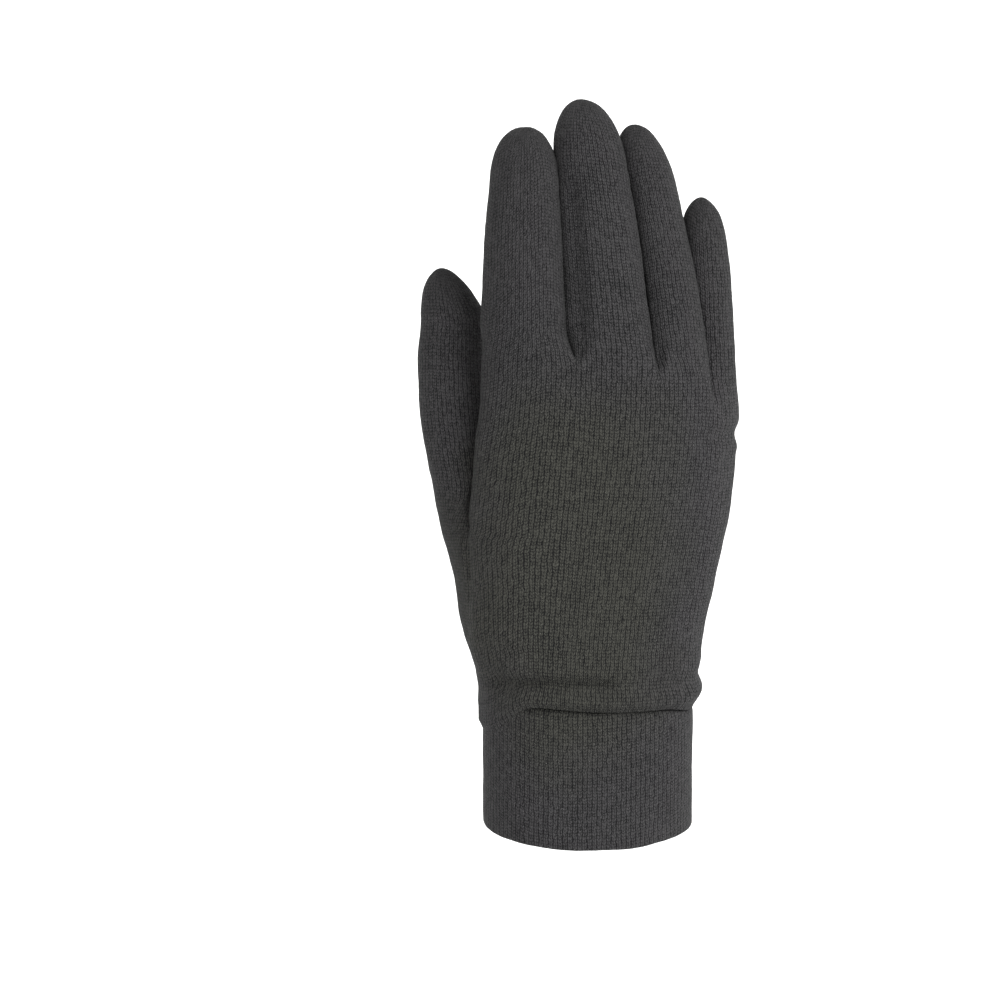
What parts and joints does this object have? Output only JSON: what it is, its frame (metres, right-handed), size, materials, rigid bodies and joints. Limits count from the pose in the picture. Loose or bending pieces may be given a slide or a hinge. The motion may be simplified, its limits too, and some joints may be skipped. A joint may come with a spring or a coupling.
{
  "type": "knitted glove liner",
  "caption": "Thin knitted glove liner for a right hand, filled out with its fingers up, with a separate thumb and a plain doubled cuff.",
  "frame": {"origin": "centre of the cuff's opening, where the wrist goes in", "axes": "+Z from the cuff towards the fingertips, -Y out of the back of the hand, -X towards the thumb"},
  "size_m": [0.1069, 0.051, 0.2465],
  "materials": {
    "hand_knit": "matte charcoal plain knit, fine and slightly fuzzy",
    "cuff_knit": "matte charcoal plain knit, doubled"
  },
  "bodies": {
    "root": {"hand_shell": "hand_knit", "thumb": "hand_knit", "cuff": "cuff_knit"}
  },
  "joints": []
}
